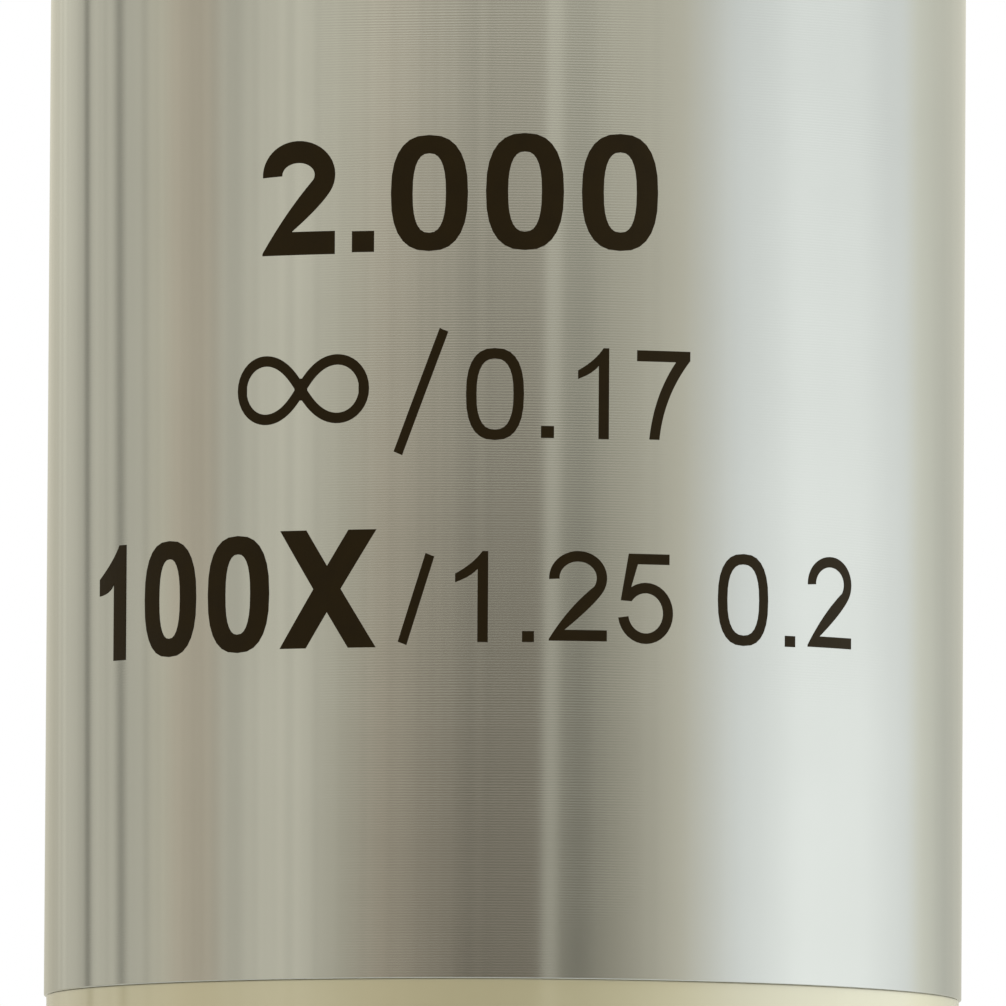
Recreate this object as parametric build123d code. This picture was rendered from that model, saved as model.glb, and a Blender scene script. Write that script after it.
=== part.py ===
from build123d import *
import os
from math import cos, pi, sin, sqrt

# An infinity-corrected oil immersion microscope objective of high power.
# It hangs in its frame as it does on a microscope: the rear thread is up and
# the front lens is down. Millimetres. The origin is the centre of the
# shoulder face that seats against the nosepiece, and +Z is the optical axis
# towards the thread.

# Rear mounting thread and shoulder
thread_major_dia = 20.32
thread_reach = 5.0
thread_wall = 1.9
undercut_width = 0.8
undercut_depth = 0.6
shoulder_relief_width = 0.2
shoulder_relief_depth = 0.2
thread_lead_chamfer = 0.6
thread_pitch = 0.7056
thread_depth = 0.42
thread_crest = 0.1
shoulder_web = 1.2

# Walls from the lens stack outwards, which add up to a barrel 24 mm across
stack_bore_dia = 12.4
stack_wall = 2.4
tube_wall = 2.25
sleeve_wall = 1.05

# Knurled grip
grip_height = 5.4
grip_chamfer = 0.35
knurl_count = 96
knurl_depth = 0.26
knurl_land = 0.2
neck_height = 0.6
neck_depth = 0.7

# Outer barrel, colour ring and nose cap
sleeve_length = 27.4
sleeve_chamfer = 0.12
ring_height = 2.2
ring_inset = 0.1
ring_chamfer = 0.05
cap_land = 1.6
cap_taper_height = 4.0
cap_end_wall = 1.7
cap_edge_chamfer = 0.25
cap_thread_length = 2.2

# Guide tube that everything is screwed to
tube_spigot_step = 1.0
stop_lip = 1.6
stop_lip_clearance = 0.5

# Sliding lens barrel and its nose
stack_shelf = 1.8
nose_wall = 1.0
nose_reach = 3.43
nose_travel = 2.0
barrel_top_depth = 4.0
spring_seat_depth = 9.8
stack_floor = 1.2
immersion_ring_width = 0.7
immersion_ring_depth = 0.25
immersion_ring_offset = 0.45

# Front cell, the cone with the front lens in it
cone_height = 1.73
tip_face_dia = 4.6
front_spigot_length = 2.1
front_lens_dia = 3.0
front_window_dia = 2.3
front_window_depth = 0.2

# Spring and its retaining ring
spring_wire_dia = 0.7
spring_wire_sides = 8
spring_turns = 4.5
spring_gap_outside = 0.45
spring_ring_height = 1.8
spanner_slot_width = 1.2
spanner_slot_depth = 0.7

# Guide screw and centring screws
guide_screw_dia = 2.0
guide_dog_dia = 1.2
guide_slot_depth = 1.0
guide_screw_depth = 14.0
centring_screw_dia = 1.6
centring_screw_count = 3
driver_slot_width = 0.3
driver_slot_depth = 0.35
access_hole_dia = 2.0

# Lens stack, from the nose to the rear
meniscus_cell_wall = 1.45
meniscus_edge = 1.0
meniscus_rear_sag = 0.95
meniscus_front_sag = 0.55
doublet_cell_height = 6.0
doublet_cell_wall = 1.55
doublet_front_edge = 1.1
doublet_rear_edge = 2.4
doublet_front_sag = 0.5
doublet_cement_sag = 1.5
doublet_rear_sag = 0.8
lower_spacer_height = 1.5
triplet_cell_height = 8.0
triplet_cell_wall = 1.35
triplet_front_edge = 1.3
triplet_middle_edge = 1.5
triplet_rear_edge = 1.3
triplet_outer_sag = 0.9
triplet_cement_sag = 0.8
stop_disc_thickness = 0.4
stop_aperture_dia = 5.2
rear_cell_height = 6.5
rear_cell_wall = 1.95
rear_front_edge = 2.2
rear_rear_edge = 1.4
rear_outer_sag = 0.85
rear_cement_sag = 0.6
rear_surface_sag = 0.45
lens_ring_height = 1.6
lens_ring_depth = 1.0
seat_width = 0.45
spacer_wall = 1.0
cell_lead = 0.25

# Clearances, each between two faces
fit_clearance = 0.05
slide_clearance = 0.05
nose_clearance = 0.1
neck_clearance = 0.12
cell_clearance = 0.03
lens_clearance = 0.02
cement_gap = 0.01
screw_clearance = 0.02
dog_clearance = 0.05
slot_end_clearance = 0.3

# How far a cutting shape runs past the face that it cuts
cut_margin = 1.0

# Radii that follow from the sizes above
stack_bore_r = stack_bore_dia / 2
slider_r = stack_bore_r + stack_wall
tube_bore_r = slider_r + slide_clearance
skirt_r = tube_bore_r + tube_wall
spigot_r = skirt_r - tube_spigot_step
sleeve_bore_r = skirt_r + fit_clearance
barrel_r = sleeve_bore_r + sleeve_wall
thread_r = thread_major_dia / 2
rear_bore_r = thread_r - thread_wall
nose_bore_r = stack_bore_r - stack_shelf
nose_r = nose_bore_r + nose_wall
nose_cell_r = nose_bore_r - cell_clearance
meniscus_r = nose_cell_r - meniscus_cell_wall - lens_clearance
cell_r = stack_bore_r - cell_clearance
doublet_r = cell_r - doublet_cell_wall - lens_clearance
triplet_r = cell_r - triplet_cell_wall - lens_clearance
rear_lens_r = cell_r - rear_cell_wall - lens_clearance
cap_bore_r = nose_r + nose_clearance
spring_outer_r = tube_bore_r - spring_gap_outside
spring_mean_r = spring_outer_r - spring_wire_dia / 2
spring_neck_r = spring_outer_r - spring_wire_dia - spring_gap_outside
spring_ring_r = tube_bore_r - fit_clearance
spring_ring_bore_r = spring_neck_r + neck_clearance

# Heights that follow, all measured from the shoulder face
grip_bottom = -grip_height
sleeve_top = grip_bottom - neck_height
sleeve_bottom = sleeve_top - sleeve_length
ring_bottom = sleeve_bottom - ring_height
cap_taper_top = ring_bottom - cap_land
cap_bottom = cap_taper_top - cap_taper_height
tip_z = cap_bottom - nose_reach
tube_bottom = ring_bottom - cap_thread_length
stop_z = tube_bottom + stop_lip
stack_floor_z = stop_z + stack_floor
tube_top = -shoulder_web
spring_ring_bottom = tube_top - spring_ring_height
cone_top = tip_z + cone_height
front_spigot_top = cone_top + front_spigot_length
immersion_ring_top = cap_bottom - immersion_ring_offset
doublet_cell_top = stack_floor_z + doublet_cell_height
triplet_cell_z = doublet_cell_top + lower_spacer_height
triplet_cell_top = triplet_cell_z + triplet_cell_height
lens_ring_top = -barrel_top_depth - lens_ring_depth
rear_cell_top = lens_ring_top - lens_ring_height
rear_cell_z = rear_cell_top - rear_cell_height
stop_disc_z = rear_cell_z - stop_disc_thickness
centring_z = triplet_cell_z + triplet_cell_height / 2


def turned(*corners):
    """A piece turned round the optical axis from its half section, (radius, height) by corner."""
    outline = Polyline(*corners, close=True)
    return revolve(Plane.XZ * make_face(outline), Axis.Z)


def surface(half_width, height, sag):
    """One polished face, an arc from the axis to its rim at height; a positive sag bulges down."""
    ball = (half_width**2 + sag**2) / (2 * abs(sag))
    middle_r = half_width / 2
    rise = ball - sqrt(ball**2 - middle_r**2)
    middle_z = height - sag + (rise if sag > 0 else -rise)
    return ThreePointArc((0, height - sag), (middle_r, middle_z), (half_width, height))


def lens(radius, bottom_z, edge, bottom, top):
    """A lens of a given edge thickness. bottom and top are (half width, sag) of its two faces."""
    top_z = bottom_z + edge
    lower = surface(bottom[0], bottom_z, bottom[1])
    upper = surface(top[0], top_z, top[1])
    sides = [(bottom[0], bottom_z), (radius, bottom_z), (radius, top_z), (top[0], top_z)]
    corners = [c for n, c in enumerate(sides) if n == 0 or c != sides[n - 1]]
    rim = Polyline(*corners)
    axis = Line((0, top_z - top[1]), (0, bottom_z - bottom[1]))
    return revolve(Plane.XZ * make_face(lower + rim + upper + axis), Axis.Z)


def cell(bottom_z, height, lens_r, seat_z):
    """A turned lens cell: a seat for the lens to lie on, and a bore above it."""
    top_z = bottom_z + height
    seat_r = lens_r - seat_width
    bore_r = lens_r + lens_clearance
    return turned(
        (seat_r, bottom_z),
        (cell_r - cell_lead, bottom_z),
        (cell_r, bottom_z + cell_lead),
        (cell_r, top_z),
        (bore_r, top_z),
        (bore_r, seat_z),
        (seat_r, seat_z),
    )


def radial_rod(radius, inner_r, outer_r, height):
    """A rod that lies along +X between two radii."""
    along = Plane(origin=(inner_r, 0, height), x_dir=(0, 1, 0), z_dir=(1, 0, 0))
    return extrude(along * Circle(radius), outer_r - inner_r)


def spanner_slots(outer_r, top_z):
    """A bar across the top of a threaded ring, which leaves its two spanner slots."""
    bar = Box(2 * (outer_r + cut_margin), spanner_slot_width, 2 * spanner_slot_depth)
    return Pos(0, 0, top_z) * bar


def driver_slot(outer_r, height):
    """A bar across the outer end of a small headless screw that lies along +X."""
    bar = Box(2 * driver_slot_depth, guide_screw_dia + cut_margin, driver_slot_width)
    return Pos(outer_r, 0, height) * bar


def knurl_grooves():
    """Straight V grooves round the grip, with a narrow land left between them."""
    half_width = pi * barrel_r / knurl_count - knurl_land / 2
    root = barrel_r - knurl_depth
    mouth = barrel_r + knurl_depth
    groove = make_face(
        Polyline((root, 0), (mouth, 2 * half_width), (mouth, -2 * half_width), close=True)
    )
    cutter = extrude(Pos(0, 0, grip_bottom - knurl_depth) * groove, grip_height + 2 * knurl_depth)
    return [Rot(0, 0, 360 * n / knurl_count) * cutter for n in range(knurl_count)]


def undercut():
    """The groove at the foot of the thread, which also relieves the corner of the shoulder."""
    root_r = thread_r - undercut_depth
    outer_r = thread_r + shoulder_relief_width
    return turned(
        (root_r, -shoulder_relief_depth),
        (outer_r, -shoulder_relief_depth),
        (outer_r, undercut_width),
        (thread_r, undercut_width),
        (root_r, undercut_width / 2),
    )


def thread_grooves():
    """The thread between its undercut and its lead chamfer, as one V groove for each turn."""
    length = thread_reach - thread_lead_chamfer - undercut_width
    turns = int(length / thread_pitch)
    first_z = undercut_width + (length - (turns - 1) * thread_pitch) / 2
    half_width = (thread_pitch - thread_crest) / 2
    root = thread_r - thread_depth
    mouth = thread_r + thread_depth
    groove = turned((root, 0), (mouth, 2 * half_width), (mouth, -2 * half_width))
    return [Pos(0, 0, first_z + n * thread_pitch) * groove for n in range(turns)]


def mount_ring():
    """The rear thread, the shoulder and the knurled grip, turned from one blank."""
    neck_r = barrel_r - neck_depth
    socket_r = spigot_r + fit_clearance
    blank = turned(
        (rear_bore_r + thread_lead_chamfer / 2, thread_reach),
        (thread_r - thread_lead_chamfer, thread_reach),
        (thread_r, thread_reach - thread_lead_chamfer),
        (thread_r, 0),
        (barrel_r - grip_chamfer, 0),
        (barrel_r, -grip_chamfer),
        (barrel_r, grip_bottom + grip_chamfer),
        (barrel_r - grip_chamfer, grip_bottom),
        (neck_r, grip_bottom),
        (neck_r, sleeve_top),
        (socket_r, sleeve_top),
        (socket_r, tube_top),
        (rear_bore_r, tube_top),
        (rear_bore_r, thread_reach - thread_lead_chamfer / 2),
    )
    return blank - undercut() - thread_grooves() - knurl_grooves()


def guide_tube():
    """The long inner tube: its bore guides the lens barrel and its lip is the lower stop."""
    blank = turned(
        (tube_bore_r, tube_top),
        (spigot_r, tube_top),
        (spigot_r, sleeve_top),
        (skirt_r, sleeve_top),
        (skirt_r, ring_bottom),
        (spigot_r, ring_bottom),
        (spigot_r, tube_bottom),
        (nose_r + stop_lip_clearance, tube_bottom),
        (nose_r + stop_lip_clearance, stop_z),
        (tube_bore_r, stop_z),
    )
    tapped = Rot(0, 0, 90) * radial_rod(
        guide_screw_dia / 2, tube_bore_r - cut_margin, skirt_r + cut_margin, -guide_screw_depth
    )
    access = radial_rod(
        access_hole_dia / 2, tube_bore_r - cut_margin, skirt_r + cut_margin, centring_z
    )
    return blank - tapped - [turn * access for turn in centring_places()]


def centring_places():
    return [Rot(0, 0, 30 + 360 * n / centring_screw_count) for n in range(centring_screw_count)]


def marked_sleeve():
    """The plain satin barrel that carries the figures."""
    return turned(
        (sleeve_bore_r, sleeve_top),
        (barrel_r - sleeve_chamfer, sleeve_top),
        (barrel_r, sleeve_top - sleeve_chamfer),
        (barrel_r, sleeve_bottom + 2 * sleeve_chamfer),
        (barrel_r - sleeve_chamfer, sleeve_bottom),
        (sleeve_bore_r, sleeve_bottom),
    )


def colour_ring():
    """The cream ring that shows the power, held between the barrel and the nose cap."""
    ring_r = barrel_r - ring_inset
    return turned(
        (sleeve_bore_r, sleeve_bottom),
        (ring_r - ring_chamfer, sleeve_bottom),
        (ring_r, sleeve_bottom - ring_chamfer),
        (ring_r, ring_bottom + ring_chamfer),
        (ring_r - ring_chamfer, ring_bottom),
        (sleeve_bore_r, ring_bottom),
    )


def nose_cap():
    """The tapered cap that screws on the guide tube and closes the front."""
    end_r = cap_bore_r + cap_end_wall
    socket_r = spigot_r + fit_clearance
    return turned(
        (socket_r, ring_bottom),
        (barrel_r - sleeve_chamfer, ring_bottom),
        (barrel_r, ring_bottom - sleeve_chamfer),
        (barrel_r, cap_taper_top),
        (end_r + cap_edge_chamfer, cap_bottom + cap_edge_chamfer),
        (end_r, cap_bottom),
        (cap_bore_r + cap_edge_chamfer, cap_bottom),
        (cap_bore_r, cap_bottom + cap_edge_chamfer),
        (cap_bore_r, tube_bottom - fit_clearance),
        (socket_r, tube_bottom - fit_clearance),
    )


def lens_barrel():
    """The barrel that carries all the lenses and slides up when the nose is pushed."""
    groove_r = nose_r - immersion_ring_depth
    groove_bottom = immersion_ring_top - immersion_ring_width
    top = -barrel_top_depth
    blank = turned(
        (stack_bore_r, top),
        (spring_neck_r - cell_lead, top),
        (spring_neck_r, top - cell_lead),
        (spring_neck_r, -spring_seat_depth),
        (slider_r - cell_lead, -spring_seat_depth),
        (slider_r, -spring_seat_depth - cell_lead),
        (slider_r, stop_z + cell_lead),
        (slider_r - cell_lead, stop_z),
        (nose_r, stop_z),
        (nose_r, immersion_ring_top),
        (groove_r, immersion_ring_top),
        (groove_r, groove_bottom),
        (nose_r, groove_bottom),
        (nose_r, cone_top),
        (nose_bore_r, cone_top),
        (nose_bore_r, stack_floor_z),
        (stack_bore_r, stack_floor_z),
    )
    tapped = radial_rod(
        centring_screw_dia / 2, stack_bore_r - cut_margin, slider_r + cut_margin, centring_z
    )
    return blank - guide_slot() - [turn * tapped for turn in centring_places()]


def guide_slot():
    """The straight slot in the lens barrel that the guide screw's dog runs in."""
    width = guide_dog_dia + 2 * dog_clearance
    upper = -guide_screw_depth + slot_end_clearance
    lower = -guide_screw_depth - nose_travel - slot_end_clearance
    flat = SlotCenterToCenter(upper - lower, width, rotation=90)
    floor_r = slider_r - guide_slot_depth
    face = Plane(origin=(0, floor_r, (upper + lower) / 2), x_dir=(1, 0, 0), z_dir=(0, 1, 0))
    return extrude(face * flat, guide_slot_depth + cut_margin)


def immersion_ring():
    """The black ring near the front that marks an oil lens, flush in its groove."""
    bottom = immersion_ring_top - immersion_ring_width
    groove_r = nose_r - immersion_ring_depth
    return turned(
        (groove_r, bottom),
        (nose_r, bottom),
        (nose_r, immersion_ring_top),
        (groove_r, immersion_ring_top),
    )


def front_cell():
    """The cone at the very front, screwed into the nose, with the front lens in it."""
    lens_r = front_lens_dia / 2 + lens_clearance
    window_r = front_window_dia / 2 + lens_clearance
    seat_z = tip_z + front_window_depth
    lens_top = seat_z + front_lens_dia / 2
    return turned(
        (window_r, tip_z),
        (tip_face_dia / 2, tip_z),
        (nose_r, cone_top),
        (nose_cell_r, cone_top),
        (nose_cell_r, front_spigot_top),
        (meniscus_r - seat_width, front_spigot_top),
        (lens_r, lens_top),
        (lens_r, seat_z),
        (window_r, seat_z),
    )


def front_lens():
    """The front lens: a flat window in the tip face and a half ball behind it."""
    window_r = front_window_dia / 2
    ball_r = front_lens_dia / 2
    seat_z = tip_z + front_window_depth
    flats = Polyline(
        (0, seat_z + ball_r), (0, tip_z), (window_r, tip_z), (window_r, seat_z), (ball_r, seat_z)
    )
    halfway = pi / 4
    dome = ThreePointArc(
        (ball_r, seat_z),
        (ball_r * cos(halfway), seat_z + ball_r * sin(halfway)),
        (0, seat_z + ball_r),
    )
    return revolve(Plane.XZ * make_face(flats + dome), Axis.Z)


def meniscus_cell():
    """The cell in the nose, between the front cell and the floor of the stack."""
    seat_r = meniscus_r - seat_width
    bore_r = meniscus_r + lens_clearance
    top_z = stack_floor_z - fit_clearance
    seat_z = front_spigot_top + seat_width
    return turned(
        (seat_r, front_spigot_top),
        (nose_cell_r, front_spigot_top),
        (nose_cell_r, top_z),
        (bore_r, top_z),
        (bore_r, seat_z),
        (seat_r, seat_z),
    )


def meniscus_lens():
    clear_r = meniscus_r - seat_width
    return lens(
        meniscus_r,
        front_spigot_top + seat_width,
        meniscus_edge,
        (clear_r, -meniscus_front_sag),
        (meniscus_r, -meniscus_rear_sag),
    )


def doublet_seat():
    return stack_floor_z + seat_width + doublet_front_sag


def doublet_crown():
    """The front element of the doublet, biconvex."""
    clear_r = doublet_r - seat_width
    rear = (doublet_r, -doublet_cement_sag)
    return lens(doublet_r, doublet_seat(), doublet_front_edge, (clear_r, doublet_front_sag), rear)


def doublet_flint():
    """The rear element of the doublet, hollow in front where the crown is cemented in."""
    bottom_z = doublet_seat() + doublet_front_edge + cement_gap
    front = (doublet_r, -doublet_cement_sag)
    rear = (doublet_r, -doublet_rear_sag)
    return lens(doublet_r, bottom_z, doublet_rear_edge, front, rear)


def triplet_seat():
    return triplet_cell_z + seat_width + triplet_outer_sag


def triplet_front():
    clear_r = triplet_r - seat_width
    rear = (triplet_r, -triplet_cement_sag)
    return lens(triplet_r, triplet_seat(), triplet_front_edge, (clear_r, triplet_outer_sag), rear)


def triplet_middle():
    """The thin-centred middle element, hollow on both faces."""
    bottom_z = triplet_seat() + triplet_front_edge + cement_gap
    edge = triplet_middle_edge + 2 * triplet_cement_sag
    front = (triplet_r, -triplet_cement_sag)
    rear = (triplet_r, triplet_cement_sag)
    return lens(triplet_r, bottom_z, edge, front, rear)


def triplet_rear():
    middle_top = triplet_seat() + triplet_front_edge + triplet_middle_edge + 2 * triplet_cement_sag
    bottom_z = middle_top + 2 * cement_gap
    front = (triplet_r, triplet_cement_sag)
    rear = (triplet_r, -triplet_outer_sag)
    return lens(triplet_r, bottom_z, triplet_rear_edge, front, rear)


def spacer(bottom_z, top_z):
    """A plain tube that keeps two cells apart."""
    return turned(
        (cell_r - spacer_wall, bottom_z),
        (cell_r, bottom_z),
        (cell_r, top_z),
        (cell_r - spacer_wall, top_z),
    )


def aperture_stop():
    """The thin black disc whose bevelled hole limits the beam."""
    hole_r = stop_aperture_dia / 2
    return turned(
        (hole_r, stop_disc_z),
        (cell_r, stop_disc_z),
        (cell_r, rear_cell_z),
        (hole_r + stop_disc_thickness, rear_cell_z),
    )


def rear_seat():
    return rear_cell_z + seat_width + rear_outer_sag


def rear_flint():
    """The front element of the rear pair, hollow towards the stop."""
    clear_r = rear_lens_r - seat_width
    front = (clear_r, -rear_outer_sag)
    rear = (rear_lens_r, rear_cement_sag)
    return lens(rear_lens_r, rear_seat(), rear_front_edge, front, rear)


def rear_crown():
    """The rearmost element, the one that is seen down the thread."""
    bottom_z = rear_seat() + rear_front_edge + cement_gap
    front = (rear_lens_r, rear_cement_sag)
    rear = (rear_lens_r, -rear_surface_sag)
    return lens(rear_lens_r, bottom_z, rear_rear_edge, front, rear)


def lens_retaining_ring():
    """The threaded ring that clamps the stack of cells."""
    bore_r = rear_lens_r
    ring = turned(
        (bore_r, rear_cell_top),
        (cell_r, rear_cell_top),
        (cell_r, lens_ring_top - cell_lead),
        (cell_r - cell_lead, lens_ring_top),
        (bore_r + cell_lead, lens_ring_top),
        (bore_r, lens_ring_top - cell_lead),
    )
    return ring - spanner_slots(cell_r, lens_ring_top)


def spring_retaining_ring():
    """The threaded ring at the top of the guide tube that the spring pushes against."""
    ring = turned(
        (spring_ring_bore_r, spring_ring_bottom),
        (spring_ring_r, spring_ring_bottom),
        (spring_ring_r, tube_top - cell_lead),
        (spring_ring_r - cell_lead, tube_top),
        (spring_ring_bore_r + cell_lead, tube_top),
        (spring_ring_bore_r, tube_top - cell_lead),
    )
    return ring - spanner_slots(spring_ring_r, tube_top)


def coil_spring():
    """The return spring, held between its seat on the lens barrel and the ring above it."""
    wire_r = spring_wire_dia / 2
    seat = -spring_seat_depth
    rise = spring_ring_bottom - seat - spring_wire_dia
    line = Pos(0, 0, seat + wire_r) * Helix(rise / spring_turns, rise, spring_mean_r)
    across = Plane(origin=line @ 0, x_dir=(1, 0, 0), z_dir=line % 0)
    wire = across * RegularPolygon(wire_r, spring_wire_sides)
    return sweep(wire, path=line, is_frenet=True)


def guide_screw():
    """The headless screw whose dog keeps the lens barrel from turning."""
    inner = slider_r - guide_slot_depth + dog_clearance
    shank = radial_rod(
        guide_screw_dia / 2 - screw_clearance, tube_bore_r, skirt_r - dog_clearance, -guide_screw_depth
    )
    dog = radial_rod(guide_dog_dia / 2, inner, tube_bore_r, -guide_screw_depth)
    screw = shank + dog - driver_slot(skirt_r - dog_clearance, -guide_screw_depth)
    return Rot(0, 0, 90) * screw


def centring_screws():
    """Three headless screws that centre the triplet's cell."""
    outer = slider_r - driver_slot_depth
    rod = radial_rod(centring_screw_dia / 2 - screw_clearance, stack_bore_r, outer, centring_z)
    screw = rod - driver_slot(outer, centring_z)
    return Compound(children=[turn * screw for turn in centring_places()])


pieces = {
    "mount_ring": mount_ring(),
    "guide_tube": guide_tube(),
    "marked_sleeve": marked_sleeve(),
    "colour_ring": colour_ring(),
    "nose_cap": nose_cap(),
    "spring_retaining_ring": spring_retaining_ring(),
    "coil_spring": coil_spring(),
    "guide_screw": guide_screw(),
    "lens_barrel": lens_barrel(),
    "immersion_ring": immersion_ring(),
    "front_cell": front_cell(),
    "front_lens": front_lens(),
    "meniscus_cell": meniscus_cell(),
    "meniscus_lens": meniscus_lens(),
    "doublet_cell": cell(stack_floor_z, doublet_cell_height, doublet_r, doublet_seat()),
    "doublet_crown": doublet_crown(),
    "doublet_flint": doublet_flint(),
    "lower_spacer": spacer(doublet_cell_top, triplet_cell_z),
    "triplet_cell": cell(triplet_cell_z, triplet_cell_height, triplet_r, triplet_seat()),
    "triplet_front": triplet_front(),
    "triplet_middle": triplet_middle(),
    "triplet_rear": triplet_rear(),
    "centring_screws": centring_screws(),
    "upper_spacer": spacer(triplet_cell_top, stop_disc_z),
    "aperture_stop": aperture_stop(),
    "rear_cell": cell(rear_cell_z, rear_cell_height, rear_lens_r, rear_seat()),
    "rear_flint": rear_flint(),
    "rear_crown": rear_crown(),
    "lens_retaining_ring": lens_retaining_ring(),
}

os.makedirs("parts", exist_ok=True)
for name, piece in pieces.items():
    export_step(piece, f"parts/{name}.step")
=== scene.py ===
"""A microscope objective of high power, close up, dressed over its CAD frame. Metres, +Z up."""

from math import atan2, copysign, cos, hypot, pi, radians, sin, sqrt, tau

import bpy
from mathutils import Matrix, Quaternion, Vector


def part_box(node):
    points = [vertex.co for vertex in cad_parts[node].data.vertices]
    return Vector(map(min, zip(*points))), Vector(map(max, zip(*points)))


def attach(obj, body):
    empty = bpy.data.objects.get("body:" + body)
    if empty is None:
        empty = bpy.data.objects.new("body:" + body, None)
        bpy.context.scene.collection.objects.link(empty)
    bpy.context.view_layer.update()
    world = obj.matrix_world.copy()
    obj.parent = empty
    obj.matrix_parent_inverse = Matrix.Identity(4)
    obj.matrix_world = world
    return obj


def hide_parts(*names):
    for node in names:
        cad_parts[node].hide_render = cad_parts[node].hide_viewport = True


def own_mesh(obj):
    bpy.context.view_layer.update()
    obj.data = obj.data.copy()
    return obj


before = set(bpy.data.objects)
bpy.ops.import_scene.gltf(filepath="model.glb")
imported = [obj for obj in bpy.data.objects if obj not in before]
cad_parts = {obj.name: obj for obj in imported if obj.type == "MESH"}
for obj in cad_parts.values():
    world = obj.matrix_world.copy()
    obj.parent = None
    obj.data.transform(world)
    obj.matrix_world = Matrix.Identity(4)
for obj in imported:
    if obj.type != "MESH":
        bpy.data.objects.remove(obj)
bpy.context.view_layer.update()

MM = 0.001

# The photograph: its size in pixels, and what one pixel covers at the optical axis
photo_size = 1006
pixel = 0.0262 * MM
camera_distance = 600 * MM
camera_elevation = radians(-3.75)
camera_roll = radians(0.34)
camera_target = Vector((-0.066 * MM, 0, -20.4 * MM))
sensor_width = 36

# Turned work
turns = 256
edge_round = 0.05 * MM
edge_steps = 3
smooth_angle = radians(40)
merge_distance = 0.0005 * MM
line_pitch = 0.0695 * MM
line_length = 9 * MM
line_beat = 1.6 * MM
line_depth = 0.00045 * MM

# Enamel on the colour ring
enamel_film = 0.035 * MM

# Mounting thread, a rounded form of 36 to the inch
thread_pitch = 0.7056 * MM
thread_depth = 0.45 * MM
thread_rows = 10
thread_radius = 10.16 * MM
rear_bore = 8.26 * MM
undercut_radius = 9.56 * MM
undercut_top = 0.8 * MM
lead_chamfer = 0.6 * MM
relief_radius = 10.36 * MM
relief_depth = 0.2 * MM

# Knurled grip
knurl_count = 96
knurl_steps = 8
knurl_depth = 0.26 * MM
knurl_land = 0.2 * MM
grip_height = 5.4 * MM
grip_chamfer = 0.35 * MM
neck_depth = 0.7 * MM

# Spring
spring_wire = 0.7 * MM
spring_turns = 5.5
spring_closed_turns = 0.9
spring_radius = 7.85 * MM
spring_points = 200

# Print, a thin film of ink on the barrel
ink_thickness = 0.016 * MM
ink_facet = 0.3 * MM
bold_stroke = 0.57 * MM
plain_stroke = 0.27 * MM
arc_steps = 28
roundness = 2.5


class Value:
    """A socket that Python's arithmetic works on; every step adds one Math node."""

    def __init__(self, finish, socket):
        self.finish = finish
        self.socket = socket

    def math(self, operation, first, second=0.0):
        return self.finish.node("Math", {"operation": operation}, {0: first, 1: second})

    def __add__(self, other):
        return self.math("ADD", self, other)

    def __sub__(self, other):
        return self.math("SUBTRACT", self, other)

    def __rsub__(self, other):
        return self.math("SUBTRACT", other, self)

    def __mul__(self, other):
        return self.math("MULTIPLY", self, other)

    def __truediv__(self, other):
        return self.math("DIVIDE", self, other)

    __radd__ = __add__
    __rmul__ = __mul__


class Finish:
    """The nodes of a material, or of the world, added one at a time."""

    def __init__(self, owner):
        owner.use_nodes = True
        self.owner = owner
        self.tree = owner.node_tree
        self.tree.nodes.clear()

    def node(self, kind, settings=None, sockets=None, output=0):
        """Adds a node, makes its settings, fills its sockets and gives one of its outputs."""
        made = self.tree.nodes.new("ShaderNode" + kind)
        for name, value in (settings or {}).items():
            setattr(made, name, value)
        for name, value in (sockets or {}).items():
            if isinstance(value, Value):
                self.tree.links.new(value.socket, made.inputs[name])
            else:
                made.inputs[name].default_value = value
        return Value(self, made.outputs[output]) if made.outputs else made

    def place(self):
        """The x, y and z of the point that is shaded."""
        point = self.node("TexCoord", output="Object")
        split = self.node("SeparateXYZ", sockets={"Vector": point}).socket.node
        return [Value(self, socket) for socket in split.outputs]

    def ramp(self, factor, stops):
        """A colour ramp through (place, colour) stops."""
        made = self.node("ValToRGB", sockets={"Fac": factor})
        elements = made.socket.node.color_ramp.elements
        while len(elements) < len(stops):
            elements.new(1.0)
        for element, (place, colour) in zip(elements, stops):
            element.position = place
            element.color = (*colour, 1)
        return made

    def noise(self, scale, detail=2.0, stretch=(1, 1, 1)):
        """Noise on the piece's own coordinates, drawn out along an axis by a small stretch."""
        point = self.node("TexCoord", output="Object")
        drawn = self.node("Mapping", sockets={"Vector": point, "Scale": stretch})
        return self.node("TexNoise", sockets={"Vector": drawn, "Scale": scale, "Detail": detail})

    def lathe_lines(self):
        """Fine even lines round the axis, stronger and weaker by turns, among a few stray ones."""
        x, y, z = self.place()
        along = z + x.math("SQRT", x * x + y * y)

        def drawn_round(pitch, detail):
            sockets = {"X": x / line_length, "Y": y / line_length, "Z": along / pitch}
            point = self.node("CombineXYZ", sockets=sockets)
            return self.node("TexNoise", sockets={"Vector": point, "Scale": 1.0, "Detail": detail})

        beat = drawn_round(line_beat, 1.0)
        stray = drawn_round(2 * line_pitch, 1.5)
        wave = x.math("SINE", (along / line_pitch + beat * 2.0) * tau)
        return 0.25 + wave * beat * 0.8 + stray * 0.5

    def blend(self, factor, first, second):
        """A colour between two colours."""
        sockets = {0: factor, 6: (*first, 1), 7: (*second, 1)}
        return self.node("Mix", {"data_type": "RGBA"}, sockets, 2)

    def bump(self, height, strength, distance):
        sockets = {"Height": height, "Strength": strength, "Distance": distance}
        return self.node("Bump", sockets=sockets)

    def surface(self, sockets):
        """Ends a material with one Principled shader."""
        shader = self.node("BsdfPrincipled", sockets=sockets)
        self.node("OutputMaterial", sockets={"Surface": shader})
        return self.owner


# Finishes


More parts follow.
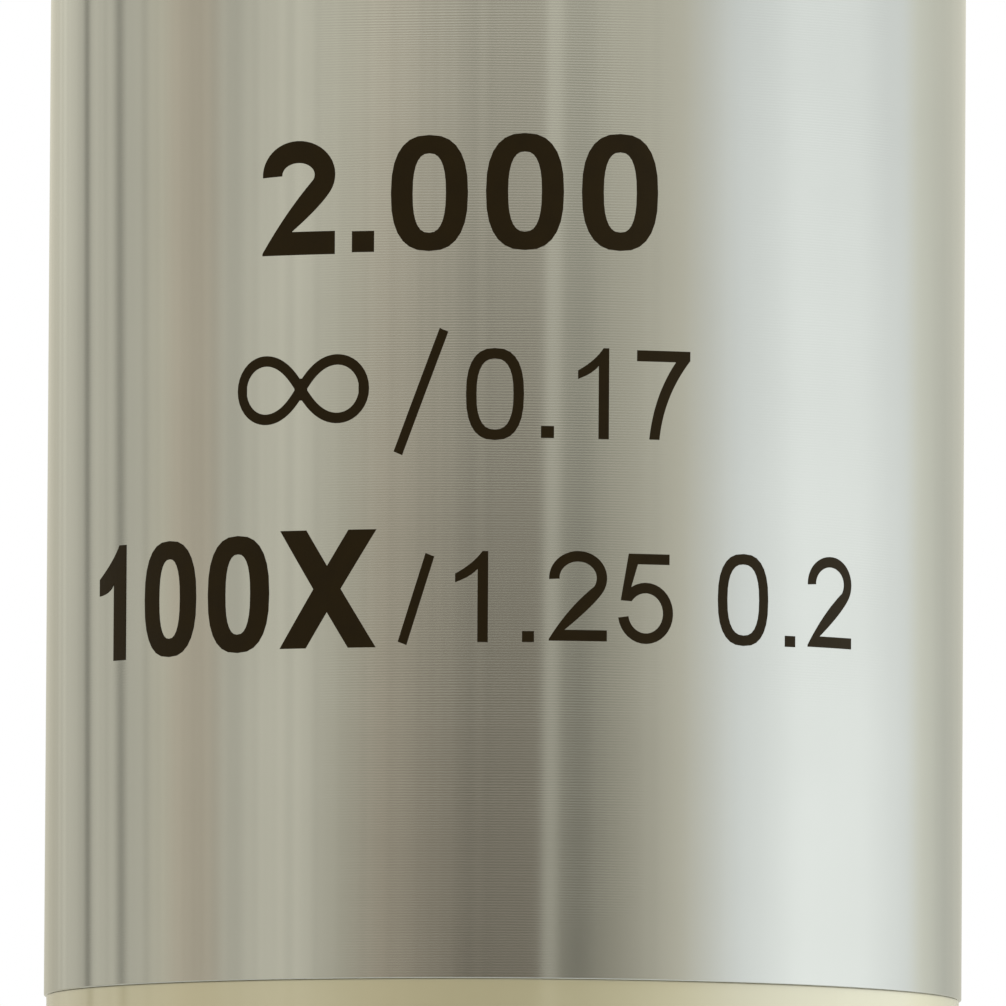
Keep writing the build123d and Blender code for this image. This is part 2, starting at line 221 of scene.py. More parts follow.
def turned_metal(name, dark, light, roughness, line_strength, anisotropy):
    """Bare or plated metal off a fine lathe: soft along the part, with lines round it; the lines' share of the
    colour is painted shade of the turning grooves, the cloud the metal's own uneven tone.
    """
    finish = Finish(bpy.data.materials.new(name))
    lines = finish.lathe_lines()
    cloud = finish.noise(260, 3.0)
    # The lines' share of this colour is painted shade in the turning grooves; the cloud is uneven tone of the
    # metal.
    colour = finish.blend(cloud * 0.92 + lines * 0.08, dark, light)
    rough = roughness + 0.02 * cloud + 0.015 * lines
    return finish.surface(
        {
            "Base Color": colour,
            "Metallic": 1.0,
            "Roughness": rough,
            "Anisotropic": anisotropy,
            "Anisotropic Rotation": 0.25,
            "Normal": finish.bump(lines, line_strength, line_depth),
        }
    )


def gloss_enamel(name, dark, light, roughness):
    """Stoved enamel: a clear gloss over colour that is a little uneven, with a faint orange peel."""
    finish = Finish(bpy.data.materials.new(name))
    cloud = finish.noise(420, 3.0)
    peel = finish.noise(1400, 1.0)
    return finish.surface(
        {
            "Base Color": finish.blend(cloud, dark, light),
            "Roughness": roughness + 0.08 * cloud,
            "Coat Weight": 1.0,
            "Coat Roughness": 0.08,
            "Coat IOR": 2.3,
            "Normal": finish.bump(peel, 0.12, 0.01 * MM),
        }
    )


def printing_ink(name):
    """Dark brown ink, nearly matt, a little thin where the turning lines show through."""
    finish = Finish(bpy.data.materials.new(name))
    lines = finish.lathe_lines()
    cloud = finish.noise(1500, 2.0)
    return finish.surface(
        {
            "Base Color": finish.blend(cloud, (0.013, 0.007, 0.0005), (0.021, 0.012, 0.001)),
            "Roughness": 0.5 + 0.15 * cloud,
            "Specular IOR Level": 0.12,
            "Normal": finish.bump(lines, 0.5, line_depth),
        }
    )


def coated_glass(name):
    """Optical glass with a thin anti-reflection coating, which tints its reflections."""
    finish = Finish(bpy.data.materials.new(name))
    cloud = finish.noise(300, 1.0)
    return finish.surface(
        {
            "Base Color": finish.blend(cloud, (0.86, 0.93, 0.90), (0.92, 0.95, 0.93)),
            "Roughness": 0.01 + 0.01 * cloud,
            "IOR": 1.52,
            "Transmission Weight": 1.0,
            "Thin Film Thickness": 110.0,
            "Thin Film IOR": 1.38,
        }
    )


satin_chrome = turned_metal(
    "satin_chrome", (0.525, 0.53, 0.51), (0.565, 0.57, 0.55), 0.11, 1.0, 0.92
)
bright_brass = turned_metal(
    "bright_brass", (0.66, 0.48, 0.20), (0.76, 0.58, 0.28), 0.22, 1.0, 0.6
)
spring_steel = turned_metal(
    "spring_steel", (0.44, 0.43, 0.41), (0.54, 0.53, 0.51), 0.25, 0.5, 0.2
)
screw_steel = turned_metal(
    "screw_steel", (0.28, 0.28, 0.29), (0.38, 0.38, 0.39), 0.3, 1.0, 0.2
)
blackened_brass = turned_metal(
    "blackened_brass", (0.022, 0.020, 0.018), (0.045, 0.040, 0.036), 0.5, 1.0, 0.3
)
cream_enamel = gloss_enamel("cream_enamel", (0.54, 0.495, 0.33), (0.60, 0.555, 0.38), 0.25)
black_enamel = gloss_enamel("black_enamel", (0.010, 0.010, 0.011), (0.018, 0.018, 0.019), 0.2)
dark_ink = printing_ink("dark_ink")
optical_glass = coated_glass("optical_glass")

slot_finishes = {
    "satin_chrome": satin_chrome,
    "bright_brass": bright_brass,
    "blackened_brass": blackened_brass,
    "cream_enamel": cream_enamel,
    "black_enamel": black_enamel,
    "spring_steel": spring_steel,
    "screw_steel": screw_steel,
    "optical_glass": optical_glass,
}


# Shop tools


def start_fresh():
    bpy.ops.object.select_all(action="DESELECT")


def named(name):
    """The object just made, under its own name."""
    piece = bpy.context.object
    piece.name = name
    piece.data.name = name
    return piece


def settle(piece):
    """Smooths a finished piece, with its large faces left flat."""
    bpy.ops.object.mode_set(mode="OBJECT")
    bpy.ops.object.shade_smooth_by_angle(angle=smooth_angle)
    weighted = piece.modifiers.new("large_faces", "WEIGHTED_NORMAL")
    weighted.keep_sharp = True
    bpy.ops.object.modifier_apply(modifier=weighted.name)


def turned(name, corners, rounding=edge_round, steps=turns):
    """A piece turned on the lathe from its closed half section, (radius, height) by corner."""
    start_fresh()
    bpy.ops.mesh.primitive_plane_add(size=MM)
    piece = named(name)
    bpy.ops.object.mode_set(mode="EDIT")
    bpy.ops.mesh.merge(type="CENTER")
    bpy.ops.transform.translate(value=(corners[0][0], 0, corners[0][1]))
    for (radius, height), (next_radius, next_height) in zip(corners, corners[1:] + corners[:1]):
        step = (next_radius - radius, 0, next_height - height)
        bpy.ops.mesh.extrude_vertices_move(TRANSFORM_OT_translate={"value": step})
    bpy.ops.mesh.select_all(action="SELECT")
    bpy.ops.mesh.remove_doubles(threshold=merge_distance)
    if rounding:
        bpy.ops.mesh.select_all(action="SELECT")
        bpy.ops.mesh.bevel(
            affect="VERTICES", offset=rounding, segments=edge_steps, clamp_overlap=True
        )
    bpy.ops.mesh.select_all(action="SELECT")
    bpy.ops.mesh.spin(steps=steps, angle=tau, center=(0, 0, 0), axis=(0, 0, 1))
    bpy.ops.mesh.select_all(action="SELECT")
    bpy.ops.mesh.remove_doubles(threshold=merge_distance)
    bpy.ops.mesh.normals_make_consistent(inside=False)
    settle(piece)
    return piece


def draw_in(piece, surface_radius):
    """Cuts a turned blank down to a surface, given as a radius at each angle and height."""
    for vertex in piece.data.vertices:
        x, y, z = vertex.co
        radius = hypot(x, y)
        cut = surface_radius(atan2(y, x), z)
        if radius > cut:
            vertex.co.x = x * cut / radius
            vertex.co.y = y * cut / radius


def spanner_slotted(piece, top, width=1.2 * MM, depth=0.7 * MM):
    """Mills the two spanner slots across the top of a threaded ring."""
    start_fresh()
    bpy.ops.mesh.primitive_cube_add(size=1, location=(0, 0, top))
    cutter = named("slot_cutter")
    cutter.scale = (30 * MM, width, 2 * depth)
    slots = piece.modifiers.new("slots", "BOOLEAN")
    slots.object = cutter
    bpy.context.view_layer.objects.active = piece
    bpy.ops.object.modifier_apply(modifier=slots.name)
    bpy.data.objects.remove(cutter)


def fit(piece, body, slot, *nodes):
    """Gives a finished piece its finish and its body, and hides the CAD nodes that it stands for."""
    piece.data.materials.clear()
    piece.data.materials.append(slot_finishes[slot])
    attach(piece, body)
    if nodes:
        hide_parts(*nodes)
    return piece


def heights(node):
    """The lowest and highest z of a CAD node."""
    low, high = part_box(node)
    return low.z, high.z


def outer_radius(node):
    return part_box(node)[1].x


# Camera


def place_camera():
    data = bpy.data.cameras.new("camera")
    camera = bpy.data.objects.new("camera", data)
    bpy.context.scene.collection.objects.link(camera)
    data.sensor_width = sensor_width
    data.lens = sensor_width * camera_distance / (photo_size * pixel)
    data.clip_start = 10 * MM
    data.clip_end = 10
    back = Vector((0, -cos(camera_elevation), sin(camera_elevation)))
    camera.location = camera_target + back * camera_distance
    camera.rotation_mode = "QUATERNION"
    level = (-back).to_track_quat("-Z", "Y")
    camera.rotation_quaternion = level @ Quaternion((0, 0, 1), camera_roll)
    bpy.context.scene.camera = camera
    bpy.context.view_layer.update()
    return camera


def on_barrel(camera, x, y, radius):
    """Where a pixel of the photograph falls on the barrel: the angle from its front, and z."""
    half = photo_size / 2
    eye = camera.location
    ray = Vector(((x - half) * pixel, (half - y) * pixel, -camera_distance))
    ray.rotate(camera.rotation_quaternion)
    across = ray.x * ray.x + ray.y * ray.y
    toward = eye.x * ray.x + eye.y * ray.y
    beyond = eye.x * eye.x + eye.y * eye.y - radius * radius
    hit = eye + ray * ((-toward - sqrt(toward * toward - across * beyond)) / across)
    return atan2(hit.x, -hit.y), hit.z


# Metalwork


def make_thread():
    """The mounting thread on its sleeve, with a running-out groove below it."""
    top = heights("mount_ring")[1]
    bottom = -1.2 * MM
    rows = round((top - lead_chamfer - undercut_top) / thread_pitch * thread_rows)
    chamfer_rows = round(lead_chamfer / thread_pitch * thread_rows)
    crest = [
        (thread_radius, undercut_top + (top - lead_chamfer - undercut_top) * n / rows)
        for n in range(rows)
    ]
    lead = [
        (thread_radius - lead_chamfer * n / chamfer_rows, top - lead_chamfer + lead_chamfer * n / chamfer_rows)
        for n in range(chamfer_rows + 1)
    ]
    corners = [(rear_bore, bottom), (undercut_radius, bottom), (undercut_radius, undercut_top / 2)]
    corners += crest + lead
    corners += [(rear_bore + lead_chamfer / 2, top), (rear_bore, top - lead_chamfer / 2)]
    thread = turned("mount_thread", corners, rounding=0)
    root = thread_radius - thread_depth

    def helix(angle, height):
        turn = height / thread_pitch - angle / tau
        return root + thread_depth * (0.5 + 0.5 * cos(tau * turn))

    def cut(angle, height):
        return helix(angle, height) if height > undercut_top / 2 else undercut_radius + merge_distance

    draw_in(thread, cut)
    return fit(thread, "casing", "satin_chrome")


def make_grip():
    """The shoulder and the knurled grip below it."""
    low = heights("mount_ring")[0]
    barrel = outer_radius("marked_sleeve")
    grip_low = -grip_height
    neck = barrel - neck_depth
    bore = 9.95 * MM
    grip = turned(
        "knurled_grip",
        [
            (bore, low),
            (bore, -1.2 * MM),
            (undercut_radius, -1.2 * MM),
            (undercut_radius, -relief_depth),
            (relief_radius, -relief_depth),
            (relief_radius, 0),
            (barrel - grip_chamfer, 0),
            (barrel, -grip_chamfer),
            (barrel, grip_low + grip_chamfer),
            (barrel - grip_chamfer, grip_low),
            (neck, grip_low),
            (neck, low),
        ],
        rounding=0.03 * MM,
        steps=knurl_count * knurl_steps,
    )
    pitch = tau * barrel / knurl_count
    half_width = (pitch - knurl_land) / 2

    def knurl(angle, height):
        from_groove = abs((angle / tau * knurl_count) % 1 - 0.5) * pitch
        return barrel - knurl_depth * max(0, 1 - from_groove / half_width)

    draw_in(grip, knurl)
    return fit(grip, "casing", "satin_chrome", "mount_ring")


def make_sleeve():
    """The plain satin barrel, with its edges only just broken."""
    low, high = heights("marked_sleeve")
    barrel = outer_radius("marked_sleeve")
    bore = barrel - 1.05 * MM
    corners = [(bore, low), (barrel, low), (barrel, high), (bore, high)]
    sleeve = turned("barrel_sleeve", corners, rounding=0.035 * MM)
    return fit(sleeve, "casing", "satin_chrome", "marked_sleeve")


def make_colour_ring():
    low, high = heights("colour_ring")
    ring = outer_radius("colour_ring") + enamel_film
    bore = ring - 0.95 * MM
    corners = [(bore, low), (ring, low), (ring, high), (bore, high)]
    piece = turned("cream_ring", corners, rounding=0.04 * MM)
    return fit(piece, "casing", "cream_enamel", "colour_ring")


def make_cap():
    """The tapered cap, with the nose's clearance hole in its end."""
    low, high = heights("nose_cap")
    barrel = outer_radius("nose_cap")
    land = 1.6 * MM
    end = 7.2 * MM
    hole = 5.5 * MM
    edge = 0.25 * MM
    socket = 9.95 * MM
    step = -37.85 * MM
    corners = [
        (socket, high),
        (barrel - 0.12 * MM, high),
        (barrel, high - 0.12 * MM),
        (barrel, high - land),
        (end + edge, low + edge),
        (end, low),
        (hole + edge, low),
        (hole, low + edge),
        (hole, step),
        (socket, step),
    ]
    return fit(turned("tapered_cap", corners), "casing", "satin_chrome", "nose_cap")


def make_front_cell():
    """The cone that carries the front lens."""
    low, high = heights("front_cell")
    cone = low + 1.73 * MM
    nose = outer_radius("front_cell")
    corners = [
        (1.17 * MM, low),
        (2.3 * MM, low),
        (nose, cone),
        (4.37 * MM, cone),
        (4.37 * MM, high),
        (2.45 * MM, high),
        (1.52 * MM, low + 1.7 * MM),
        (1.52 * MM, low + 0.2 * MM),
        (1.17 * MM, low + 0.2 * MM),
    ]
    piece = turned("front_cone", corners, rounding=0.04 * MM)
    return fit(piece, "nose", "satin_chrome", "front_cell")


def make_immersion_ring():
    low, high = heights("immersion_ring")
    ring = outer_radius("immersion_ring")
    bore = ring - 0.25 * MM
    corners = [(bore, low), (ring, low), (ring, high), (bore, high)]
    piece = turned("oil_ring", corners, rounding=0.03 * MM)
    return fit(piece, "nose", "black_enamel", "immersion_ring")


def threaded_ring(name, node, body, bore, slot):
    """A blackened retaining ring with two spanner slots across its top."""
    low, high = heights(node)
    outer = outer_radius(node)
    lead = 0.25 * MM
    corners = [
        (bore, low),
        (outer, low),
        (outer, high - lead),
        (outer - lead, high),
        (bore + lead, high),
        (bore, high - lead),
    ]
    ring = turned(name, corners, rounding=0.03 * MM)
    spanner_slotted(ring, high)
    return fit(ring, body, slot, node)


def make_spring():
    """The return spring, closed at both ends, from round wire."""
    low, high = heights("coil_spring")
    wire = spring_wire / 2
    curve = bpy.data.curves.new("return_spring", "CURVE")
    curve.dimensions = "3D"
    curve.bevel_depth = wire
    curve.bevel_resolution = 3
    curve.use_fill_caps = True
    path = curve.splines.new("POLY")
    path.points.add(spring_points)
    for n, point in enumerate(path.points):
        turn = spring_turns * n / spring_points
        from_end = min(turn, spring_turns - turn)
        closed = spring_wire * min(from_end, spring_closed_turns)
        open_turns = spring_turns - 2 * spring_closed_turns
        open_rise = (high - low - spring_wire - 2 * spring_wire * spring_closed_turns) / open_turns
        opened = open_rise * max(0, from_end - spring_closed_turns)
        rise = wire + closed + opened
        height = low + rise if turn < spring_turns / 2 else high - rise
        point.co = (spring_radius * cos(tau * turn), spring_radius * sin(tau * turn), height, 1)
    spring = bpy.data.objects.new("return_spring", curve)
    bpy.context.scene.collection.objects.link(spring)
    start_fresh()
    spring.select_set(True)
    bpy.context.view_layer.objects.active = spring
    bpy.ops.object.convert(target="MESH")
    bpy.ops.object.shade_smooth_by_angle(angle=smooth_angle)
    fit(spring, "casing", "spring_steel", "coil_spring")
    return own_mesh(spring)


def smooth_copy(name, node, body, slot):
    """A CAD node's own shape, joined up and smoothed."""
    start_fresh()
    piece = bpy.data.objects.new(name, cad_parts[node].data.copy())
    bpy.context.scene.collection.objects.link(piece)
    piece.select_set(True)
    bpy.context.view_layer.objects.active = piece
    bpy.ops.object.mode_set(mode="EDIT")
    bpy.ops.mesh.select_all(action="SELECT")
    bpy.ops.mesh.remove_doubles(threshold=merge_distance)
    settle(piece)
    return fit(piece, body, slot, node)


# Print


def arc(centre, radii, start, end, roundness=2):
    """Points on part of a rounded oval, angles in degrees from the right, anticlockwise."""
    points = []
    for n in range(arc_steps + 1):
        angle = radians(start + (end - start) * n / arc_steps)
        across = copysign(abs(cos(angle)) ** (2 / roundness), cos(angle))
        up = copysign(abs(sin(angle)) ** (2 / roundness), sin(angle))
        points.append((centre[0] + radii[0] * across, centre[1] + radii[1] * up))
    return points


def bow(start, middle, end):
    """Points on a smooth bow that starts and ends towards its middle point."""
    points = []
    for n in range(arc_steps + 1):
        t = n / arc_steps
        shares = ((1 - t) ** 2, 2 * t * (1 - t), t * t)
        points.append(
            tuple(sum(s * p for s, p in zip(shares, at)) for at in zip(start, middle, end))
        )
    return points


def figure_zero(w, t):
    """Each figure is a list of outlines, one unit tall and w wide, with strokes t thick."""
    middle = (w / 2, 0.5)
    top = min(t, 0.11 + 0.25 * t)
    outer = arc(middle, (w / 2, 0.5), 0, 360, roundness)[:-1]
    inner = arc(middle, (w / 2 - t, 0.5 - top), 0, 360, roundness)[:-1]
    return [outer, inner]


def figure_one(w, t):
    flag_top, flag_low, crotch = 0.81 - 0.5 * t, 0.79 - 1.15 * t, 1.0 - 1.7 * t
    flag = bow((0, flag_top), (0.55 * w, 0.86), (w - 0.55 * t, 1))
    under = bow((w - t, crotch), (0.45 * w, crotch - 0.09), (0, flag_low))
    return [[(w - t, 0), (w, 0), (w, 1)] + flag[::-1] + under[::-1]]


def figure_two(w, t):
    middle = (w / 2, 0.7)
    outer = arc(middle, (w / 2, 0.3), 183, -30)
    inner = arc(middle, (w / 2 - t, 0.3 - t), -30, 183)
    slope_out = bow(outer[-1], (0.78 * w, 0.4), (1.5 * t, 1.05 * t))
    slope_in = bow((0, 0.02), (0.34 * w, 0.38), inner[0])
    base = [(w, 1.05 * t), (w, 0), (0, 0)]
    return [outer + slope_out[1:] + base + slope_in[:-1] + inner]


def figure_five(w, t):
    middle = (0.5 * w, 0.34)
    outer = arc(middle, (0.5 * w, 0.34), -171, 122)
    inner = arc(middle, (0.5 * w - t, 0.34 - t), 144, -171)
    bar = [(0.19 * w + 0.9 * t, 1 - t), (0.93 * w, 1 - t), (0.93 * w, 1)]
    stem = [(0.19 * w, 1), (0.05 * w, 0.48)]
    return [outer + bar + stem + inner]


def figure_seven(w, t):
    right = bow((w, 1 - 0.9 * t), (0.5 * w, 0.5), (0.42 * w, 0))
    left = bow((0.42 * w - t, 0), (0.5 * w - t, 0.5), (w - 1.45 * t, 1 - 1.05 * t))
    return [[(0, 1), (w, 1)] + right + left + [(0, 1 - 1.05 * t)]]


def figure_times(w, t):
    arm = 1.32 * t
    notch = (w / 2 - arm) / (w - arm)
    left_side = [(0, 1), ((w - arm) / 2, 0.5), (0, 0), (arm, 0)]
    right_side = [(w, 0), ((w + arm) / 2, 0.5), (w, 1), (w - arm, 1)]
    low, high = [(w / 2, notch), (w - arm, 0)], [(w / 2, 1 - notch), (arm, 1)]
    return [left_side + low + right_side + high]


def figure_stroke(w, t):
    """A slanted stroke, cut off square to itself."""
    across = 0.9 * t / hypot(w, 1)
    down = across * w
    return [[(0, down), (across, 0), (w, 1 - down), (w - across, 1)]]


def figure_point(w, t):
    return [[(0, 0), (w, 0), (w, 1), (0, 1)]]


def figure_infinity(w, t):
    """Two loops that cross in the middle, from one looping line with an even stroke."""
    half = w / 2 - t / 2
    fullness = 1.8
    rise = (0.5 - t / 2) * 2 * sqrt(1 + fullness)

    def loop_point(angle):
        swing = 1 + fullness * sin(angle) ** 2
        return Vector((half * cos(angle) / swing, rise * sin(angle) * cos(angle) / swing))

    outer, inner = [], []
    for n in range(1, 2 * arc_steps):
        angle = -pi / 2 + pi * n / (2 * arc_steps)
        here = loop_point(angle)
        along = (loop_point(angle + 0.01) - loop_point(angle - 0.01)).normalized()
        aside = Vector((along.y, -along.x)) * t / 2
        outer.append(here + aside)
        inner.append(here - aside)
    outer = [p for p in outer if p.x > 0]
    inner = [p for p in inner if p.x > 0 and p.y * (inner.index(p) - arc_steps + 1) > 0]
    right = [(w / 2 + p.x, 0.5 + p.y) for p in outer]
    left = [(w / 2 - p.x, 0.5 - p.y) for p in outer]
    right_eye = [(w / 2 + p.x, 0.5 + p.y) for p in inner]
    left_eye = [(w / 2 - p.x, 0.5 + p.y) for p in inner]
    return [right + left, right_eye, left_eye]


figures = {
    "0": figure_zero,
    "1": figure_one,
    "2": figure_two,
    "5": figure_five,
    "7": figure_seven,
    "x": figure_times,
    "/": figure_stroke,
    ".": figure_point,
    "inf": figure_infinity,
}

# Each printed line: the figure, its stroke, and its left, right, top and bottom in the photograph
printed_lines = {
    "upper_figures": [
        ("2", bold_stroke, 263, 335, 141, 255),
        (".", bold_stroke, 352, 374, 231, 252),
        ("0", bold_stroke, 391, 468, 135, 251),
        ("0", bold_stroke, 486, 564, 133, 250),
        ("0", bold_stroke, 582, 658, 134, 251),
    ],
    "middle_figures": [
        ("inf", plain_stroke, 238, 369, 355, 424),
        ("/", plain_stroke, 394, 448, 328, 455),
        ("0", plain_stroke, 466, 524, 348, 440),
        (".", plain_stroke, 541, 554, 426, 438),
        ("1", plain_stroke, 578, 609, 348, 439),
        ("7", plain_stroke, 637, 690, 351, 440),
    ],
    "lower_figures": [
        ("1", bold_stroke, 100, 126, 546, 661),
        ("0", bold_stroke, 145, 196, 541, 657),
        ("0", bold_stroke, 208, 269, 536, 653),
        ("x", bold_stroke, 280, 376, 530, 648),
        ("/", plain_stroke, 398, 434, 553, 645),
        ("1", plain_stroke, 455, 488, 551, 642),
        (".", plain_stroke, 522, 534, 631, 642),
        ("2", plain_stroke, 549, 607, 551, 641),
        ("5", plain_stroke, 618, 673, 554, 644),
        ("0", plain_stroke, 718, 768, 554, 646),
        (".", plain_stroke, 785, 795, 636, 647),
        ("2", plain_stroke, 808, 851, 557, 648),
    ],
}


def print_line(name, glyphs, camera):
    """Draws a line of figures flat, cuts it into narrow strips and lays it round the barrel."""
    barrel = outer_radius("marked_sleeve")
    curve = bpy.data.curves.new(name, "CURVE")
    curve.dimensions = "2D"
    curve.fill_mode = "BOTH"
    curve.extrude = ink_thickness / 2
    for figure, stroke, left, right, top, bottom in glyphs:
        across, level = (left + right) / 2, (top + bottom) / 2
        start = on_barrel(camera, left, level, barrel)[0] * barrel
        width = on_barrel(camera, right, level, barrel)[0] * barrel - start
        base = on_barrel(camera, across, bottom, barrel)[1]
        height = on_barrel(camera, across, top, barrel)[1] - base
        for outline in figures[figure](width / height, stroke / height):
            line = curve.splines.new("POLY")
            line.points.add(len(outline) - 1)
            line.use_cyclic_u = True
            for point, (x, y) in zip(line.points, outline):
                point.co = (start + x * height, base + y * height, 0, 1)
    print_piece = bpy.data.objects.new(name, curve)
    bpy.context.scene.collection.objects.link(print_piece)
    start_fresh()
    print_piece.select_set(True)
    bpy.context.view_layer.objects.active = print_piece
    bpy.ops.object.convert(target="MESH")
    bpy.ops.object.mode_set(mode="EDIT")
    bpy.ops.mesh.select_all(action="SELECT")
    bpy.ops.mesh.remove_doubles(threshold=merge_distance)
    first = min(vertex.co.x for vertex in print_piece.data.vertices)
    last = max(vertex.co.x for vertex in print_piece.data.vertices)
    for n in range(1, int((last - first) / ink_facet) + 1):
        bpy.ops.mesh.select_all(action="SELECT")
        bpy.ops.mesh.bisect(plane_co=(first + n * ink_facet, 0, 0), plane_no=(1, 0, 0))
    bpy.ops.object.mode_set(mode="OBJECT")
    for vertex in print_piece.data.vertices:
        along, up, out = vertex.co
        radius = barrel + ink_thickness / 4 + out
        angle = along / barrel
        vertex.co = (radius * sin(angle), -radius * cos(angle), up)
    print_piece.data.materials.append(dark_ink)
    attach(print_piece, "casing")
    return print_piece


# Studio

# The light tent round the object: each panel's place, in degrees round from the camera
# towards the right, how bright it is, and its tint
warm = (1.0, 0.97, 0.81)
tan = (1.0, 0.955, 0.77)
sand = (1.0, 0.905, 0.72)
brown = (1.0, 0.875, 0.68)
pale = (0.99, 1.0, 0.88)
cool = (0.96, 1.0, 0.985)
tent_panels = [
    (-180, 0.60, warm),
    (-162, 0.61, tan),
    (-153, 0.58, tan),
    (-143, 0.71, warm),
    (-136, 0.68, warm),
    (-130, 0.60, warm),
    (-124, 0.72, warm),
    (-114, 0.69, warm),
    (-103, 0.69, warm),
    (-93, 0.75, tan),
    (-88, 0.68, sand),
    (-78, 0.62, sand),
    (-72, 0.69, warm),
    (-61, 0.79, warm),
    (-50, 0.74, warm),
    (-40, 0.52, tan),
    (-30, 0.42, brown),
    (-20, 0.32, brown),
    (-8, 0.20, brown),
    (8, 0.20, brown),
    (11, 0.50, warm),
    (14, 0.28, tan),
    (18, 0.21, tan),
    (28, 0.40, tan),
    (44, 0.75, warm),
    (60, 1.15, cool),
    (78, 1.43, cool),
    (100, 1.41, cool),
    (119, 1.17, cool),
    (127, 0.97, pale),
    (143, 0.66, pale),
    (180, 0.60, warm),
]
# The seams between panels: place, half width and how much light is left
tent_seams = [
    (-126.7, 2.8, 0.36),
    (-109.8, 2.6, 0.42),
    (-98.8, 2.5, 0.88),
    (-69, 3.0, 0.88),
]
tent_peak = 1.45
tent_radius = 250 * MM
tent_low = -140 * MM
tent_high = 350 * MM
tent_folds = 150
fold_depth = 0.4
tent_lean = radians(0.16) / MM
lean_middle = -17 * MM
lean_reach = 60 * MM
top_light = 0.7
top_low = -28 * MM
top_high = 60 * MM
top_dimming = 0.3
# Round the tent: how far its lit top shows, and how far it dims towards the top instead
top_window = [
    (-180, 0.5, 0),
    (-140, 0.5, 0),
    (-124, 0.1, 0),
    (-62, 0, 0),
    (-34, 1, 0),
    (27, 1, 0),
    (50, 0, 0.3),
    (70, 0, 1),
    (112, 0, 1),
    (130, 0, 0),
    (142, 0.5, 0),
    (180, 0.5, 0),
]
floor_height = -150 * MM
floor_radius = 3.0
ambient_light = (0.50, 0.50, 0.49)
lamp_power = 1.6
lamp_colour = (0.82, 0.93, 1.0)
lamp_size = 300 * MM
lamp_place = Vector((350 * MM, 60 * MM, 330 * MM))


def tent_cloth():
    """Lit cloth: its brightness changes from panel to panel, with seams, folds and a lit top."""
    finish = Finish(bpy.data.materials.new("tent_cloth"))
    x, y, z = finish.place()
    reach = {
        "From Min": lean_middle - lean_reach,
        "From Max": lean_middle + lean_reach,
        "To Min": -lean_reach * tent_lean / 2,
        "To Max": lean_reach * tent_lean / 2,
    }
    lean = finish.node("MapRange", sockets={"Value": z, **reach})
    angle = x.math("ARCTAN2", x, y * -1.0) + lean * (y / tent_radius + 1.0)
    round_share = angle / tau + 0.5

    def ramp_round(stops):
        return finish.ramp(round_share, [(at / 360 + 0.5, colour) for at, colour in stops])

    panels = ramp_round(
        [(at, [level / tent_peak * part for part in tint]) for at, level, tint in tent_panels]
    )
    seams = ramp_round(
        [
            (at + side * width, [1 if side else left] * 3)
            for at, width, left in tent_seams
            for side in (-1, 0, 1)
        ]
    )
    window = ramp_round([(at, (lit, dimmed, 0)) for at, lit, dimmed in top_window])
    shares = finish.node("SeparateXYZ", sockets={"Vector": window}).socket.node.outputs
    lit, dimmed = Value(finish, shares["X"]), Value(finish, shares["Y"])
    sewn = finish.node("VectorMath", {"operation": "MULTIPLY"}, {0: panels, 1: seams})
    rise = {"Value": z, "From Min": top_low, "From Max": top_high}
    above = finish.node("MapRange", {"interpolation_type": "SMOOTHSTEP"}, rise)
    lit_top = {0: lit * above * top_light, 6: sewn, 7: (*warm, 1)}
    lifted = finish.node("Mix", {"data_type": "RGBA"}, lit_top, 2)
    fold = finish.node(
        "TexNoise", {"noise_dimensions": "1D"}, {"W": round_share * tent_folds, "Scale": 1.0}
    )
    fold_side = 0.55 - 0.45 * (x / tent_radius)
    shade = (1.0 + fold_depth * fold_side * (fold - 0.5)) * (1.0 - top_dimming * above * dimmed)
    folded = finish.node("VectorMath", {"operation": "SCALE"}, {0: lifted, "Scale": shade})
    light = finish.node("Emission", sockets={"Color": folded, "Strength": tent_peak})
    finish.node("OutputMaterial", sockets={"Surface": light})
    return finish.owner


def pale_floor():
    """A pale matt floor, clear from below."""
    finish = Finish(bpy.data.materials.new("pale_floor"))
    cloud = finish.noise(3, 2.0)
    colour = finish.blend(cloud, (0.80, 0.80, 0.79), (0.84, 0.84, 0.83))
    matt = finish.node("BsdfDiffuse", sockets={"Color": colour})
    clear = finish.node("BsdfTransparent")
    underside = finish.node("NewGeometry", output="Backfacing")
    shader = finish.node("MixShader", sockets={0: underside, 1: matt, 2: clear})
    finish.node("OutputMaterial", sockets={"Surface": shader})
    return finish.owner


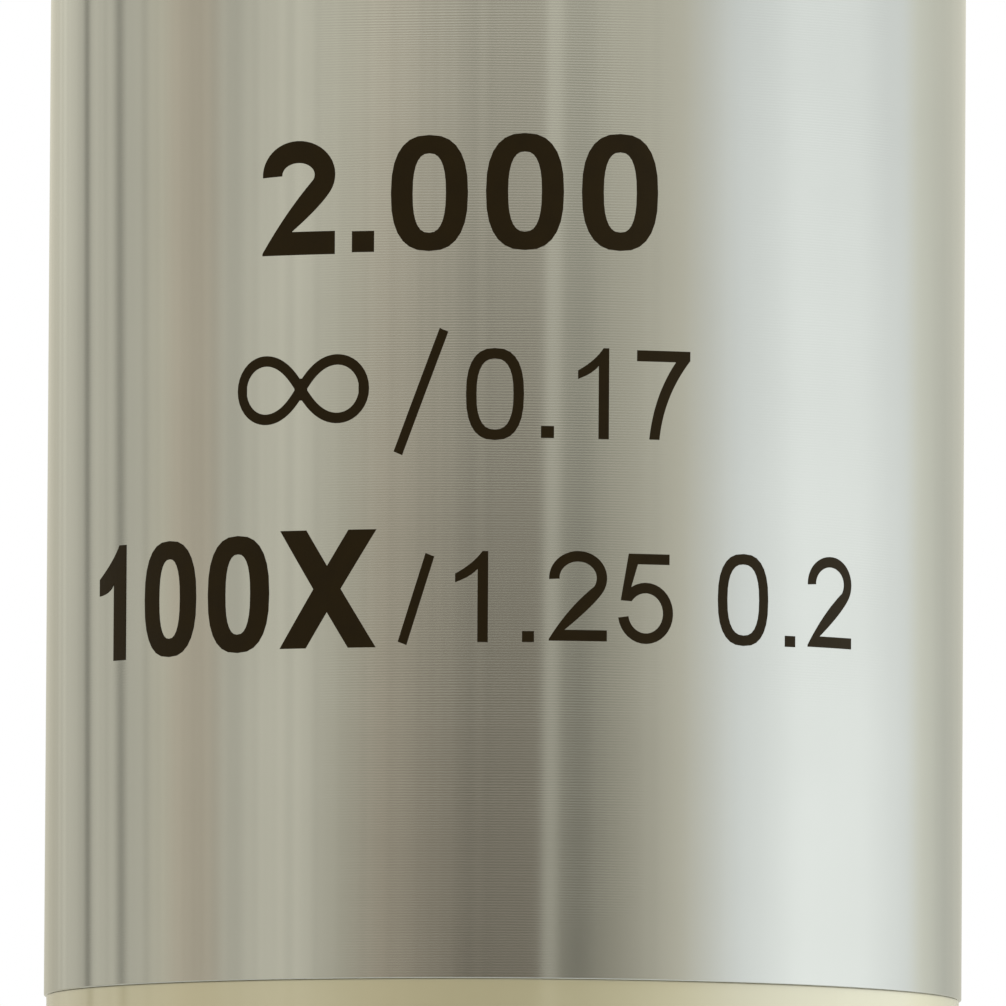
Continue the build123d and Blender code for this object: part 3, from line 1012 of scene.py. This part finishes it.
def light_world():
    """White where the camera, gloss or glass sees it, and a plain soft light elsewhere."""
    world = bpy.data.worlds.new("studio")
    bpy.context.scene.world = world
    finish = Finish(world)
    paths = finish.node("LightPath").socket.node.outputs
    seen = Value(finish, paths["Is Camera Ray"])
    for kind in ("Is Glossy Ray", "Is Transmission Ray"):
        seen = seen.math("MAXIMUM", seen, Value(finish, paths[kind]))
    soft = finish.node("Background", sockets={"Color": (*ambient_light, 1)})
    white = finish.node("Background", sockets={"Color": (1, 1, 1, 1)})
    shader = finish.node("MixShader", sockets={0: seen, 1: soft, 2: white})
    finish.node("OutputWorld", sockets={"Surface": shader})


def build_studio():
    start_fresh()
    bpy.ops.mesh.primitive_circle_add(
        vertices=64, radius=floor_radius, fill_type="NGON", location=(0, 0, floor_height)
    )
    floor = named("floor")
    floor.data.materials.append(pale_floor())
    start_fresh()
    bpy.ops.mesh.primitive_cylinder_add(
        vertices=96,
        radius=tent_radius,
        depth=tent_high - tent_low,
        end_fill_type="NOTHING",
        location=(0, 0, (tent_low + tent_high) / 2),
    )
    tent = named("light_tent")
    bpy.ops.object.transform_apply(location=True, rotation=False, scale=False)
    tent.data.materials.append(tent_cloth())
    tent.visible_camera = False
    tent.visible_transmission = False
    tent.visible_shadow = False
    bpy.ops.object.light_add(type="AREA", location=lamp_place)
    lamp = named("soft_lamp")
    lamp.data.shape = "DISK"
    lamp.data.size = lamp_size
    lamp.data.energy = lamp_power
    lamp.data.color = lamp_colour
    lamp.rotation_euler = (-lamp_place).to_track_quat("-Z", "Y").to_euler()
    light_world()


camera = place_camera()
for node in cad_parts.values():
    for held in node.material_slots:
        held.material = slot_finishes[held.material.name]
make_thread()
make_grip()
make_sleeve()
make_colour_ring()
make_cap()
make_front_cell()
make_immersion_ring()
threaded_ring("spring_ring", "spring_retaining_ring", "casing", 7.17 * MM, "blackened_brass")
threaded_ring("stack_ring", "lens_retaining_ring", "nose", 4.2 * MM, "blackened_brass")
smooth_copy("sliding_barrel", "lens_barrel", "nose", "bright_brass")
smooth_copy("front_glass", "front_lens", "nose", "optical_glass")
smooth_copy("rear_glass", "rear_crown", "nose", "optical_glass")
make_spring()
for line_name, glyphs in printed_lines.items():
    print_line(line_name, glyphs, camera)
build_studio()

scene = bpy.context.scene
scene.view_settings.view_transform = "Standard"
